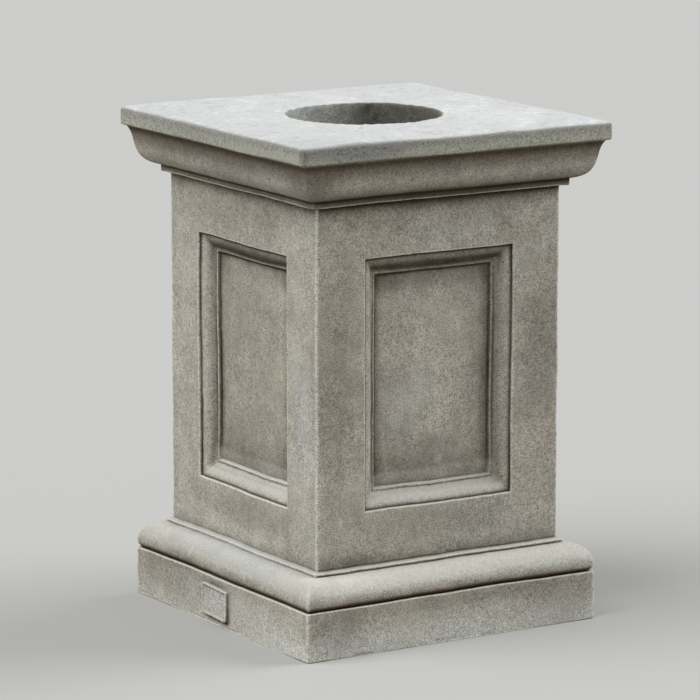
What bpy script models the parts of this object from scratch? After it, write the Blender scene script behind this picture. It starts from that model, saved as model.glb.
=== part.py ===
"""Square garden pedestal, cast in one piece: moulded cap and base, a sunk panel on each side.

Metres, +Z up. The origin is on the ground, under the middle of the plinth.
The casting is hollow, open below, and has a round hole in its top.
"""

import math

import bmesh
import bpy
from mathutils import Matrix, Vector

# Shaft (dado) and overall height
HEIGHT = 0.6096
DADO_WIDTH = 0.3414
ARRIS_RADIUS = 0.002

# Base, each moulding given by how far it stands out from the one above it
PLINTH_HEIGHT = 0.0592
ROLL_RADIUS = 0.0252
ROLL_FOOT_RADIUS = 0.010
ROLL_FOOT_ANGLE = math.radians(65.5)
ROLL_SET_OUT = 0.002
BASE_FILLET_PROJECTION = 0.0053
BASE_FILLET_HEIGHT = 0.0035
BASE_FILLET_SPLAY = 0.0023

# Cap
SLAB_THICKNESS = 0.0223
SLAB_PROJECTION = 0.0048
SLAB_TOP_ROUND = 0.007
SLAB_FOOT_ROUND = 0.005
CYMA_HEIGHT = 0.0461
CYMA_PROJECTION = 0.0305
CYMA_HOLLOW = (0.0117, 0.0149)
CYMA_BELLY = (0.0294, 0.0069)
CAP_FILLET_PROJECTION = 0.0088
CAP_FILLET_HEIGHT = 0.0098
CAP_FILLET_LIP = 0.001

# Sunk panel on each side, and its moulding from the outer arris inwards
PANEL_SIDE_MARGIN = 0.0667
PANEL_TOP_MARGIN = 0.0662
PANEL_FOOT_MARGIN = 0.0643
PANEL_WALL_DEPTH = 0.0042
OGEE_QUIRK = 0.0008
OGEE_WIDTH = 0.0182
OGEE_DEPTH = 0.0113
BEAD_WIDTH = 0.0025
FIELD_STEP_WIDTH = 0.0013
FIELD_STEP_DEPTH = 0.0035

# Hollow
TOP_PLATE_THICKNESS = 0.045
PANEL_WALL_THICKNESS = 0.0247
CORE_DRAFT = 0.004
CORE_CORNER_RADIUS = 0.020
HOLE_DIAMETER = 0.188
HOLE_RIM_ROUND = 0.002

# Maker's tablet on the -X side of the plinth
TABLET_WIDTH = 0.060
TABLET_HEIGHT = 0.040
TABLET_PROUD = 0.003
TABLET_CENTRE_Y = 0.010
TABLET_CENTRE_Z = 0.029
TABLET_TILT = math.radians(2.6)
TABLET_CORNER_RADIUS = 0.003

# How far cutters run past the faces they open, and the tablet into the plinth
OVERRUN = 0.006

# Facets
ARC_STEPS = 8
CURVE_STEPS = 14
ARRIS_STEPS = 2
CORE_CORNER_STEPS = 4
HOLE_STEPS = 64
SHARP_ANGLE = math.radians(28)

# Places that follow from the sizes
dado_half = DADO_WIDTH / 2
base_fillet_half = dado_half + BASE_FILLET_PROJECTION
roll_top_half = base_fillet_half + ROLL_SET_OUT
plinth_half = roll_top_half + ROLL_RADIUS
roll_middle_z = PLINTH_HEIGHT + ROLL_FOOT_RADIUS * math.sin(ROLL_FOOT_ANGLE)
roll_top_z = roll_middle_z + ROLL_RADIUS
base_fillet_top_z = roll_top_z + BASE_FILLET_HEIGHT
dado_foot_z = base_fillet_top_z + BASE_FILLET_SPLAY
slab_foot_z = HEIGHT - SLAB_THICKNESS
cyma_foot_z = slab_foot_z - CYMA_HEIGHT
dado_top_z = cyma_foot_z - CAP_FILLET_HEIGHT
cap_fillet_half = dado_half + CAP_FILLET_PROJECTION
cyma_foot_half = cap_fillet_half + CAP_FILLET_LIP
cyma_top_half = cyma_foot_half + CYMA_PROJECTION
slab_half = cyma_top_half + SLAB_PROJECTION
panel_half_width = dado_half - PANEL_SIDE_MARGIN
panel_foot_z = dado_foot_z + PANEL_FOOT_MARGIN
panel_top_z = dado_top_z - PANEL_TOP_MARGIN
panel_depth = PANEL_WALL_DEPTH + OGEE_DEPTH + FIELD_STEP_DEPTH
core_mouth_half = dado_half - panel_depth - PANEL_WALL_THICKNESS
core_crown_half = core_mouth_half - CORE_DRAFT
core_crown_z = HEIGHT - TOP_PLATE_THICKNESS


def clear_scene():
    for obj in list(bpy.data.objects):
        bpy.data.objects.remove(obj, do_unlink=True)


def cast_stone_material():
    material = bpy.data.materials.new("cast_stone")
    material.use_nodes = True
    shader = material.node_tree.nodes["Principled BSDF"]
    shader.inputs["Base Color"].default_value = (0.32, 0.30, 0.26, 1.0)
    shader.inputs["Roughness"].default_value = 0.9
    shader.inputs["Metallic"].default_value = 0.0
    return material


def arc(centre, radius, start, end, steps=ARC_STEPS):
    """Points along an arc in the (out, up) plane, both ends included."""
    points = []
    for step in range(steps + 1):
        angle = start + (end - start) * step / steps
        out = centre[0] + radius * math.cos(angle)
        points.append((out, centre[1] + radius * math.sin(angle)))
    return points


def bezier(start, pull_start, pull_end, end, steps=CURVE_STEPS):
    """Points along a cubic curve in the (out, up) plane, both ends included."""
    points = []
    for step in range(steps + 1):
        t = step / steps
        weights = ((1 - t) ** 3, 3 * t * (1 - t) ** 2, 3 * t * t * (1 - t), t ** 3)
        controls = (start, pull_start, pull_end, end)
        out = sum(w * c[0] for w, c in zip(weights, controls))
        points.append((out, sum(w * c[1] for w, c in zip(weights, controls))))
    return points


def base_profile():
    """Plinth, roll and fillet, from the ground up to the foot of the dado."""
    foot_centre = (plinth_half - ROLL_FOOT_RADIUS, roll_middle_z)
    roll_centre = (roll_top_half, roll_middle_z)
    points = [(plinth_half, 0.0), (plinth_half, PLINTH_HEIGHT)]
    points += arc(foot_centre, ROLL_FOOT_RADIUS, -ROLL_FOOT_ANGLE, 0.0)
    points += arc(roll_centre, ROLL_RADIUS, 0.0, math.pi / 2)[1:]
    points.append((base_fillet_half, roll_top_z))
    points.append((base_fillet_half, base_fillet_top_z))
    points.append((dado_half, dado_foot_z))
    return points


def cap_profile():
    """Fillet, cyma and slab, from the head of the dado to the flat top."""
    cyma_top = (cyma_top_half, slab_foot_z)
    cyma_foot = (cyma_foot_half, cyma_foot_z)
    hollow = (cyma_top[0] - CYMA_HOLLOW[0], cyma_top[1] - CYMA_HOLLOW[1])
    belly = (cyma_foot[0] + CYMA_BELLY[0], cyma_foot[1] + CYMA_BELLY[1])
    foot_centre = (slab_half - SLAB_FOOT_ROUND, slab_foot_z + SLAB_FOOT_ROUND)
    top_centre = (slab_half - SLAB_TOP_ROUND, HEIGHT - SLAB_TOP_ROUND)
    points = [(dado_half, dado_top_z), (cap_fillet_half, dado_top_z)]
    points.append((cap_fillet_half, cyma_foot_z))
    points += bezier(cyma_foot, belly, hollow, cyma_top)
    points += arc(foot_centre, SLAB_FOOT_ROUND, -math.pi / 2, 0.0)[1:]
    points += arc(top_centre, SLAB_TOP_ROUND, 0.0, math.pi / 2)
    return points


def square_ring(bm, half, z, corner_radius, corner_steps):
    """One closed row of vertices round a square with rounded corners."""
    ring = []
    for corner in range(4):
        turn = math.pi / 2 * corner
        middle = Vector((half - corner_radius, half - corner_radius, z))
        middle.rotate(Matrix.Rotation(turn, 3, "Z"))
        for step in range(corner_steps + 1):
            angle = turn + math.pi / 2 * step / corner_steps
            offset = Vector((math.cos(angle), math.sin(angle), 0.0)) * corner_radius
            ring.append(bm.verts.new(middle + offset))
    return ring


def skin(bm, rings):
    """Close a solid over rows of vertices given from one end to the other."""
    for low, high in zip(rings, rings[1:]):
        count = len(low)
        for index in range(count):
            following = (index + 1) % count
            bm.faces.new((low[index], low[following], high[following], high[index]))
    bm.faces.new(list(reversed(rings[0])))
    bm.faces.new(rings[-1])


def mesh_object(name, bm, material):
    bmesh.ops.recalc_face_normals(bm, faces=bm.faces)
    mesh = bpy.data.meshes.new(name)
    bm.to_mesh(mesh)
    bm.free()
    mesh.materials.append(material)
    obj = bpy.data.objects.new(name, mesh)
    bpy.context.scene.collection.objects.link(obj)
    return obj


def make_block(material):
    """The whole outside form before it is hollowed and its panels are sunk."""
    bm = bmesh.new()
    rings = []
    for half, z in base_profile() + cap_profile():
        rings.append(square_ring(bm, half, z, ARRIS_RADIUS, ARRIS_STEPS))
    skin(bm, rings)
    return mesh_object("pedestal", bm, material)


def panel_section():
    """The moulding as (inset, depth) from the panel's outer arris to its field."""
    ogee_start = (OGEE_QUIRK, PANEL_WALL_DEPTH)
    ogee_end = (OGEE_QUIRK + OGEE_WIDTH, PANEL_WALL_DEPTH + OGEE_DEPTH)
    half_way = OGEE_WIDTH / 2
    section = [(0.0, -OVERRUN), (0.0, PANEL_WALL_DEPTH)]
    section += bezier(
        ogee_start,
        (ogee_start[0] + half_way, ogee_start[1]),
        (ogee_end[0] - half_way, ogee_end[1]),
        ogee_end,
        ARC_STEPS,
    )
    bead_edge = ogee_end[0] + BEAD_WIDTH
    section.append((bead_edge, ogee_end[1]))
    section.append((bead_edge + FIELD_STEP_WIDTH, ogee_end[1] + FIELD_STEP_DEPTH))
    return section


def make_panel_cutter(side, material):
    """The space of one sunk panel, cut from the -Y side and turned to its own."""
    bm = bmesh.new()
    rings = []
    for inset, depth in panel_section():
        left = -panel_half_width + inset
        right = panel_half_width - inset
        foot = panel_foot_z + inset
        top = panel_top_z - inset
        y = depth - dado_half
        corners = ((left, foot), (right, foot), (right, top), (left, top))
        rings.append([bm.verts.new((x, y, z)) for x, z in corners])
    skin(bm, rings)
    turn = Matrix.Rotation(math.pi / 2 * side, 4, "Z")
    bmesh.ops.transform(bm, matrix=turn, verts=bm.verts)
    return mesh_object(f"panel_cutter_{side + 1}", bm, material)


def make_core(material):
    """The hollow inside, open below, a little wider at its mouth than at its crown."""
    bm = bmesh.new()
    slope = (core_mouth_half - core_crown_half) / core_crown_z
    mouth_half = core_mouth_half + slope * OVERRUN
    rings = [
        square_ring(bm, mouth_half, -OVERRUN, CORE_CORNER_RADIUS, CORE_CORNER_STEPS),
        square_ring(bm, core_crown_half, core_crown_z, CORE_CORNER_RADIUS, CORE_CORNER_STEPS),
    ]
    skin(bm, rings)
    return mesh_object("core", bm, material)


def make_hole_cutter(material):
    """The round hole through the top plate, its rim eased."""
    radius = HOLE_DIAMETER / 2
    bm = bmesh.new()
    outline = [(radius, core_crown_z - OVERRUN)]
    outline += reversed(arc(
        (radius + HOLE_RIM_ROUND, HEIGHT - HOLE_RIM_ROUND),
        HOLE_RIM_ROUND,
        math.pi / 2,
        math.pi,
        ARRIS_STEPS,
    ))
    outline.append((radius + HOLE_RIM_ROUND, HEIGHT + OVERRUN))
    rings = []
    for out, z in outline:
        ring = []
        for step in range(HOLE_STEPS):
            angle = 2 * math.pi * step / HOLE_STEPS
            ring.append(bm.verts.new((out * math.cos(angle), out * math.sin(angle), z)))
        rings.append(ring)
    skin(bm, rings)
    return mesh_object("hole_cutter", bm, material)


def make_tablet(material):
    """The small bare tablet, tilted a little, rooted in the plinth's -X side."""
    bm = bmesh.new()
    rings = []
    for depth in (-OVERRUN, TABLET_PROUD):
        ring = []
        for corner, (side, rise) in enumerate(((1, 1), (-1, 1), (-1, -1), (1, -1))):
            middle = Vector((
                side * (TABLET_WIDTH / 2 - TABLET_CORNER_RADIUS),
                rise * (TABLET_HEIGHT / 2 - TABLET_CORNER_RADIUS),
                depth,
            ))
            for step in range(ARRIS_STEPS + 1):
                angle = math.pi / 2 * (corner + step / ARRIS_STEPS)
                offset = Vector((math.cos(angle), math.sin(angle), 0.0))
                ring.append(bm.verts.new(middle + offset * TABLET_CORNER_RADIUS))
        rings.append(ring)
    skin(bm, rings)
    across = Vector((0.0, -1.0, 0.0))
    face_out = Vector((-1.0, 0.0, 0.0))
    frame = Matrix((across, face_out.cross(across), face_out)).transposed().to_4x4()
    place = Matrix.Translation((-plinth_half, TABLET_CENTRE_Y, TABLET_CENTRE_Z))
    tilt = Matrix.Rotation(TABLET_TILT, 4, "Z")
    bmesh.ops.transform(bm, matrix=place @ frame @ tilt, verts=bm.verts)
    return mesh_object("tablet", bm, material)


def hide_helper(obj):
    obj.hide_render = True
    obj.display_type = "WIRE"


def combine(target, helper, operation):
    """Cut with, or join on, a helper solid that is then hidden."""
    modifier = target.modifiers.new(helper.name, "BOOLEAN")
    modifier.operation = operation
    modifier.solver = "EXACT"
    modifier.object = helper
    hide_helper(helper)


def make_pedestal():
    material = cast_stone_material()
    pedestal = make_block(material)
    combine(pedestal, make_tablet(material), "UNION")
    for side in range(4):
        combine(pedestal, make_panel_cutter(side, material), "DIFFERENCE")
    combine(pedestal, make_core(material), "DIFFERENCE")
    combine(pedestal, make_hole_cutter(material), "DIFFERENCE")
    pedestal.data.shade_smooth()
    pedestal.data.set_sharp_from_angle(angle=SHARP_ANGLE)
    return pedestal


clear_scene()
make_pedestal()
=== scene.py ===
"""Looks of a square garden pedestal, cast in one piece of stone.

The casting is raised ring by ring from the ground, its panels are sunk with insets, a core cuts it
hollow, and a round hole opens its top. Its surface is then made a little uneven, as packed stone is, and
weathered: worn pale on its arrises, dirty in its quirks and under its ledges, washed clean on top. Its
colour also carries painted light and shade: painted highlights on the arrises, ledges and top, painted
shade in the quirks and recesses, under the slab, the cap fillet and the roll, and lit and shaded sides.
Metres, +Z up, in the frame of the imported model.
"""

import functools
import logging
import math
from collections.abc import Callable
from dataclasses import dataclass
from enum import Enum

import bmesh
import bpy
import numpy as np
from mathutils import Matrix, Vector
from mathutils.bvhtree import BVHTree


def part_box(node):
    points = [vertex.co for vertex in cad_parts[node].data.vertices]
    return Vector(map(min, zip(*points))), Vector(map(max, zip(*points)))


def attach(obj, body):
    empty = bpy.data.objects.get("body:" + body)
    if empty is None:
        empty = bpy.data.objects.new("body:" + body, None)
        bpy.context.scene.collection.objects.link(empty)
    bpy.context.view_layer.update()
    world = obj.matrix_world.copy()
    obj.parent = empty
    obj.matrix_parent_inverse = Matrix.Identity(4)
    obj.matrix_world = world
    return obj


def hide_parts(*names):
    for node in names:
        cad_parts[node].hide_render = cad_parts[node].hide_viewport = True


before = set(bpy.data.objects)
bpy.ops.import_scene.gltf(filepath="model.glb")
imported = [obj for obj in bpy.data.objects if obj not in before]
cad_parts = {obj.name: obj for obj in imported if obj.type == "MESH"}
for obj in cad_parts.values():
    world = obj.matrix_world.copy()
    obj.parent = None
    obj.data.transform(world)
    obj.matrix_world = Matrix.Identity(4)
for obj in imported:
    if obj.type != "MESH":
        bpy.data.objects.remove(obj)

LOG = logging.getLogger("pedestal")
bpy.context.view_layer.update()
NODE = "pedestal"
BODY = "root"

Point = tuple[float, float]
Triple = tuple[float, float, float]


class Mask(Enum):
    """What a part of the surface has been through and how openly it lies to the sky, kept as one number for
    each vertex; they place wear and dirt, and painted light and shade too.
    """

    RUBBED_AND_HIGHLIT = "rubbed_and_highlit"
    CREVICE = "crevice"
    CAVITY = "cavity"
    EXPOSURE = "exposure"
    LEDGE = "ledge"
    UPWARD = "upward"


class Zone(Enum):
    """Groups of vertices that are roughened in their own way."""

    OUTSIDE = "outside"
    RIM = "rim"
    BORE = "bore"


@dataclass(frozen=True)
class Corner:
    """One corner of an outline or a moulding section, and how far it is eased."""

    out: float
    up: float
    ease: float = 0.0


def arc(centre: Point, radius: float, start: float, end: float, steps: int) -> list[Point]:
    """Give points along an arc.

    Args:
        centre: The arc's centre.
        radius: Its radius.
        start: The angle of its first point, in radians.
        end: The angle of its last point.
        steps: How many chords it is drawn with.

    Returns:
        The points, both ends included.
    """
    angles = [start + (end - start) * step / steps for step in range(steps + 1)]
    return [(centre[0] + radius * math.cos(a), centre[1] + radius * math.sin(a)) for a in angles]


def cubic(controls: tuple[Point, Point, Point, Point], steps: int) -> list[Point]:
    """Give points along a cubic curve.

    Args:
        controls: The start, its pull, the end's pull and the end.
        steps: How many chords it is drawn with.

    Returns:
        The points, both ends included.
    """
    points = []
    for step in range(steps + 1):
        t = step / steps
        weights = ((1 - t) ** 3, 3 * t * (1 - t) ** 2, 3 * t * t * (1 - t), t ** 3)
        out = sum(w * c[0] for w, c in zip(weights, controls))
        points.append((out, sum(w * c[1] for w, c in zip(weights, controls))))
    return points


def eased(corners: list[Corner], steps: int, holds: tuple[float, ...]) -> list[Point]:
    """Draw an outline with its corners rounded, and points held close beside each.

    Args:
        corners: The outline's corners in order.
        steps: How many chords each rounding has.
        holds: How far beyond a rounding the held points are, where the straight is long enough.

    Returns:
        The outline's points in order.
    """
    points: list[Point] = []
    for index, corner in enumerate(corners):
        here = Vector((corner.out, corner.up))
        if corner.ease <= 0.0 or index in (0, len(corners) - 1):
            points.append((here.x, here.y))
            continue
        back = Vector((corners[index - 1].out, corners[index - 1].up)) - here
        ahead = Vector((corners[index + 1].out, corners[index + 1].up)) - here
        half_angle = back.angle(ahead) / 2
        reach = min(corner.ease / math.tan(half_angle), 0.45 * back.length, 0.45 * ahead.length)
        first = here + back.normalized() * reach
        last = here + ahead.normalized() * reach
        for hold in sorted(holds, reverse=True):
            if back.length > 2.4 * (reach + hold):
                held = first + back.normalized() * hold
                points.append((held.x, held.y))
        for step in range(steps + 1):
            t = step / steps
            bend = first.lerp(here, t).lerp(here.lerp(last, t), t)
            points.append((bend.x, bend.y))
        for hold in sorted(holds):
            if ahead.length > 2.4 * (reach + hold):
                held = last + ahead.normalized() * hold
                points.append((held.x, held.y))
    return points


@dataclass(frozen=True)
class Outline:
    """The moulded outline, as half widths and heights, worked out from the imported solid's box."""

    height: float
    cap_half: float
    plinth_height: float = 0.0592
    roll_radius: float = 0.0252
    roll_foot_radius: float = 0.010
    roll_foot_angle: float = math.radians(65.5)
    roll_set_out: float = 0.002
    base_fillet_projection: float = 0.0053
    base_fillet_height: float = 0.0035
    base_fillet_splay: float = 0.0023
    slab_thickness: float = 0.0223
    slab_projection: float = 0.0048
    slab_top_round: float = 0.0052
    slab_foot_round: float = 0.0030
    cyma_height: float = 0.0477
    cyma_projection: float = 0.0305
    cyma_hollow: Point = (0.0117, 0.0149)
    cyma_belly: Point = (0.0294, 0.0069)
    cap_fillet_projection: float = 0.0088
    cap_fillet_height: float = 0.0082
    cap_fillet_lip: float = 0.001
    arris: float = 0.0011
    quirk: float = 0.0004
    holds: tuple[float, ...] = (0.0008, 0.0026)
    corner_radius: float = 0.0022
    corner_hold: float = 0.0020

    @property
    def cyma_top_half(self) -> float:
        """Half width where the cyma meets the slab."""
        return self.cap_half - self.slab_projection

    @property
    def cyma_foot_half(self) -> float:
        """Half width where the cyma springs from the cap fillet."""
        return self.cyma_top_half - self.cyma_projection

    @property
    def cap_fillet_half(self) -> float:
        """Half width of the cap fillet."""
        return self.cyma_foot_half - self.cap_fillet_lip

    @property
    def dado_half(self) -> float:
        """Half width of the shaft."""
        return self.cap_fillet_half - self.cap_fillet_projection

    @property
    def base_fillet_half(self) -> float:
        """Half width of the base fillet."""
        return self.dado_half + self.base_fillet_projection

    @property
    def roll_top_half(self) -> float:
        """Half width of the roll's centre line, where its top goes flat."""
        return self.base_fillet_half + self.roll_set_out

    @property
    def plinth_half(self) -> float:
        """Half width of the plinth, which the roll just reaches."""
        return self.roll_top_half + self.roll_radius

    @property
    def roll_middle(self) -> float:
        """Height of the roll's widest line."""
        return self.plinth_height + self.roll_foot_radius * math.sin(self.roll_foot_angle)

    @property
    def dado_foot(self) -> float:
        """Height of the shaft's foot."""
        fillet = self.base_fillet_height + self.base_fillet_splay
        return self.roll_middle + self.roll_radius + fillet

    @property
    def slab_foot(self) -> float:
        """Height of the slab's underside."""
        return self.height - self.slab_thickness

    @property
    def dado_top(self) -> float:
        """Height of the shaft's head."""
        return self.slab_foot - self.cyma_height - self.cap_fillet_height

    def base_corners(self) -> list[Corner]:
        """Give the corners of the plinth, roll and base fillet, from the ground up."""
        roll_top = self.roll_middle + self.roll_radius
        foot_centre = (self.plinth_half - self.roll_foot_radius, self.roll_middle)
        foot = arc(foot_centre, self.roll_foot_radius, -self.roll_foot_angle, 0.0, 5)
        roll = arc((self.roll_top_half, self.roll_middle), self.roll_radius, 0.0, math.pi / 2, 14)
        under = self.plinth_half - 0.03
        return [
            Corner(under, 0.0),
            Corner(self.plinth_half, 0.0, self.arris),
            Corner(self.plinth_half, self.plinth_height, self.arris),
            Corner(*foot[0], self.quirk),
            *[Corner(*point) for point in foot[1:] + roll[1:]],
            Corner(self.base_fillet_half, roll_top, self.quirk),
            Corner(self.base_fillet_half, roll_top + self.base_fillet_height, self.arris),
            Corner(self.dado_half, self.dado_foot, self.quirk),
        ]

    def cap_corners(self) -> list[Corner]:
        """Give the corners of the cap fillet, cyma and slab, up to the flat top."""
        cyma_foot_up = self.slab_foot - self.cyma_height
        foot = (self.cyma_foot_half, cyma_foot_up)
        top = (self.cyma_top_half, self.slab_foot)
        belly = (foot[0] + self.cyma_belly[0], foot[1] + self.cyma_belly[1])
        hollow = (top[0] - self.cyma_hollow[0], top[1] - self.cyma_hollow[1])
        cyma = cubic((foot, belly, hollow, top), 16)[:-1]
        slab_low = (self.cap_half - self.slab_foot_round, self.slab_foot + self.slab_foot_round)
        slab_high = (self.cap_half - self.slab_top_round, self.height - self.slab_top_round)
        return [
            Corner(self.dado_half, self.dado_top, self.quirk),
            Corner(self.cap_fillet_half, self.dado_top, self.arris),
            Corner(self.cap_fillet_half, cyma_foot_up, self.quirk),
            *[Corner(*point) for point in cyma],
            Corner(*top, self.quirk),
            *[Corner(*p) for p in arc(slab_low, self.slab_foot_round, -math.pi / 2, 0.0, 6)[1:]],
            *[Corner(*p) for p in arc(slab_high, self.slab_top_round, 0.0, math.pi / 2, 8)],
        ]

    def points(self) -> list[Point]:
        """Give the whole outline's points, from under the plinth to the flat top."""
        return eased(self.base_corners() + self.cap_corners(), 3, self.holds)


@dataclass(frozen=True)
class PanelMoulding:
    """The sunk panel: its margins on the shaft and its moulding, from the outer arris inwards."""

    side_margin: float = 0.0667
    top_margin: float = 0.0662
    foot_margin: float = 0.0643
    wall_depth: float = 0.0042
    wall_draft: float = 0.0002
    quirk_width: float = 0.0008
    ogee_width: float = 0.0182
    ogee_depth: float = 0.0113
    ogee_pulls: Point = (0.66, 0.30)
    groove_width: float = 0.0006
    groove_rise: float = 0.0003
    bead_width: float = 0.0019
    step_width: float = 0.0014
    step_depth: float = 0.0038
    field_hold: float = 0.007
    outer_arris: float = 0.0013
    arris: float = 0.0009
    quirk: float = 0.0004
    holds: tuple[float, ...] = (0.0007, 0.0024)

    @property
    def field_depth(self) -> float:
        """How far the field lies behind the shaft's face."""
        return self.wall_depth + self.ogee_depth - self.groove_rise + self.step_depth

    def section(self) -> list[Point]:
        """Give the moulding as points of (inset, depth), starting on the shaft's face."""
        start = (self.wall_draft + self.quirk_width, self.wall_depth)
        end = (start[0] + self.ogee_width, start[1] + self.ogee_depth)
        flat_out, flat_in = (self.ogee_width * pull for pull in self.ogee_pulls)
        ogee = cubic((start, (start[0] + flat_out, start[1]), (end[0] - flat_in, end[1]), end), 12)
        bead_in = end[0] + self.groove_width
        bead_depth = end[1] - self.groove_rise
        bead_out = bead_in + self.bead_width
        field_in = bead_out + self.step_width
        corners = [
            Corner(-0.008, 0.0),
            Corner(0.0, 0.0, self.outer_arris),
            Corner(self.wall_draft, self.wall_depth, self.quirk),
            *[Corner(*point) for point in ogee],
            Corner(bead_in, bead_depth, self.quirk),
            Corner(bead_out, bead_depth, self.arris),
            Corner(field_in, self.field_depth, self.quirk),
            Corner(field_in + self.field_hold, self.field_depth),
        ]
        return eased(corners, 3, self.holds)


@dataclass(frozen=True)
class Hollow:
    """The hollow inside and the round hole in the top."""

    wall_thickness: float = 0.0247
    draft: float = 0.004
    corner_radius: float = 0.020
    top_plate: float = 0.045
    hole_radius: float = 0.094
    rim_round: float = 0.0014
    overrun: float = 0.006


class Bench:
    """One object in edit mode, with faces and edges selected by where they are."""

    def __init__(self, obj: bpy.types.Object) -> None:
        """Keep the object that is worked on."""
        self.obj = obj

    def __enter__(self) -> "Bench":
        """Go into edit mode on the object alone."""
        alone(self.obj)
        bpy.ops.object.mode_set(mode="EDIT")
        return self

    def __exit__(self, *_: object) -> None:
        """Leave edit mode."""
        bpy.ops.object.mode_set(mode="OBJECT")

    def pick(self, kind: str, wanted: Callable[[object], bool]) -> list[list[Vector]]:
        """Select only the elements that a test accepts.

        Args:
            kind: FACE, EDGE or VERT.
            wanted: The test on one element.

        Returns:
            The corners of each element selected.
        """
        bpy.ops.mesh.select_mode(type=kind)
        bpy.ops.mesh.select_all(action="DESELECT")
        mesh = bmesh.from_edit_mesh(self.obj.data)
        picked = []
        for element in {"FACE": mesh.faces, "EDGE": mesh.edges, "VERT": mesh.verts}[kind]:
            if wanted(element):
                element.select_set(True)
                verts = [element] if kind == "VERT" else element.verts
                picked.append([vert.co.copy() for vert in verts])
        bmesh.update_edit_mesh(self.obj.data, loop_triangles=False, destructive=False)
        return picked

    def pick_faces(self, wanted: Callable[[bmesh.types.BMFace], bool]) -> list[list[Vector]]:
        """Select only the faces that a test accepts, and give their corners."""
        return self.pick("FACE", wanted)

    def pick_verts(self, wanted: Callable[[Vector], bool]) -> int:
        """Select only the vertices that a test on their place accepts, and count them."""
        return len(self.pick("VERT", lambda vert: wanted(vert.co)))

    def pick_edges(self, wanted: Callable[[Vector, Vector], bool]) -> int:
        """Select only the edges that a test on their two ends accepts, and count them."""
        return len(self.pick("EDGE", lambda edge: wanted(edge.verts[0].co, edge.verts[1].co)))


def alone(obj: bpy.types.Object) -> None:
    """Make one object the only one selected, and the active one."""
    bpy.ops.object.select_all(action="DESELECT")
    obj.select_set(True)
    bpy.context.view_layer.objects.active = obj


def add_block(centre: Triple, size: Triple) -> bpy.types.Object:
    """Add a block.

    Args:
        centre: Its middle.
        size: Its three sides.

    Returns:
        The block, with its scale applied.
    """
    bpy.ops.mesh.primitive_cube_add(size=1.0, location=centre)
    obj = bpy.context.active_object
    obj.scale = size
    bpy.ops.object.transform_apply(location=True, rotation=True, scale=True)
    return obj


def side_reach(point: Vector) -> float:
    """Give how far a point is from the middle, measured square to the nearest side."""
    return max(abs(point.x), abs(point.y))


def apply_boolean(target: bpy.types.Object, tool: bpy.types.Object, operation: str) -> None:
    """Cut with, or join on, another solid, and take that solid away.

    Args:
        target: The object that is changed.
        tool: The solid that cuts or is joined on.
        operation: DIFFERENCE or UNION.
    """
    modifier = target.modifiers.new("combine", "BOOLEAN")
    modifier.operation = operation
    modifier.solver = "EXACT"
    modifier.object = tool
    alone(target)
    bpy.ops.object.modifier_apply(modifier=modifier.name)
    bpy.data.objects.remove(tool, do_unlink=True)


@dataclass(frozen=True)
class Roughness:
    """One size of swell, tool mark or roughness in the surface."""

    zone: Zone
    grain: float
    height: float
    along_normals: bool = False

    def apply(self, obj: bpy.types.Object) -> None:
        """Move a zone of an object with cloud noise.

        Args:
            obj: The object, which has a vertex group named for the zone.
        """
        clouds = bpy.data.textures.new("roughness", "CLOUDS")
        clouds.noise_scale = self.grain
        clouds.noise_depth = 1
        clouds.cloud_type = "GRAYSCALE" if self.along_normals else "COLOR"
        modifier = obj.modifiers.new("roughness", "DISPLACE")
        modifier.texture = clouds
        modifier.texture_coords = "LOCAL"
        modifier.direction = "NORMAL" if self.along_normals else "RGB_TO_XYZ"
        modifier.strength = self.height
        modifier.mid_level = 0.5
        modifier.vertex_group = self.zone.value
        alone(obj)
        bpy.ops.object.modifier_apply(modifier=modifier.name)
        bpy.data.textures.remove(clouds)


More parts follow.
